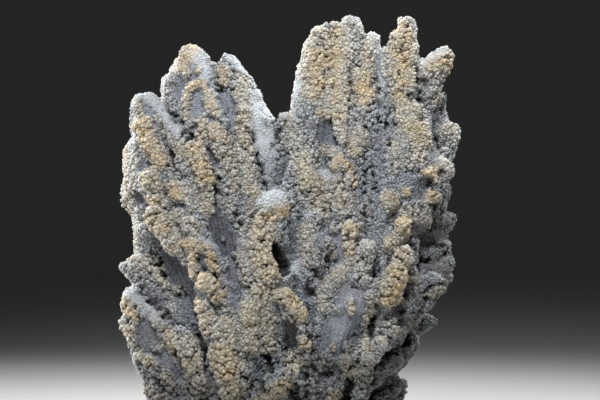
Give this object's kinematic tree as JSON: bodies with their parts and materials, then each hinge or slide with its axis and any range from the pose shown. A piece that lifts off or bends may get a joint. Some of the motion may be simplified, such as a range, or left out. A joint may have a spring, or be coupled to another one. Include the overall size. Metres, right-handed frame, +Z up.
{
  "type": "calcite crystal cluster",
  "caption": "Free-standing calcite specimen: blunt spires coated in fine druse fan out in two lobes from a flat-cut foot.",
  "frame": {"origin": "middle of the flat-cut foot, under the centre of the specimen's overall width and depth, at the height it rests on", "axes": "+Z up along the spires, +X to the right seen from the front, front towards -Y"},
  "size_m": [0.1042, 0.0506, 0.1305],
  "materials": {
    "calcite": "opaque, rough, sugary crystal druse"
  },
  "bodies": {
    "root": {"calcite_cluster": "calcite"}
  },
  "joints": []
}
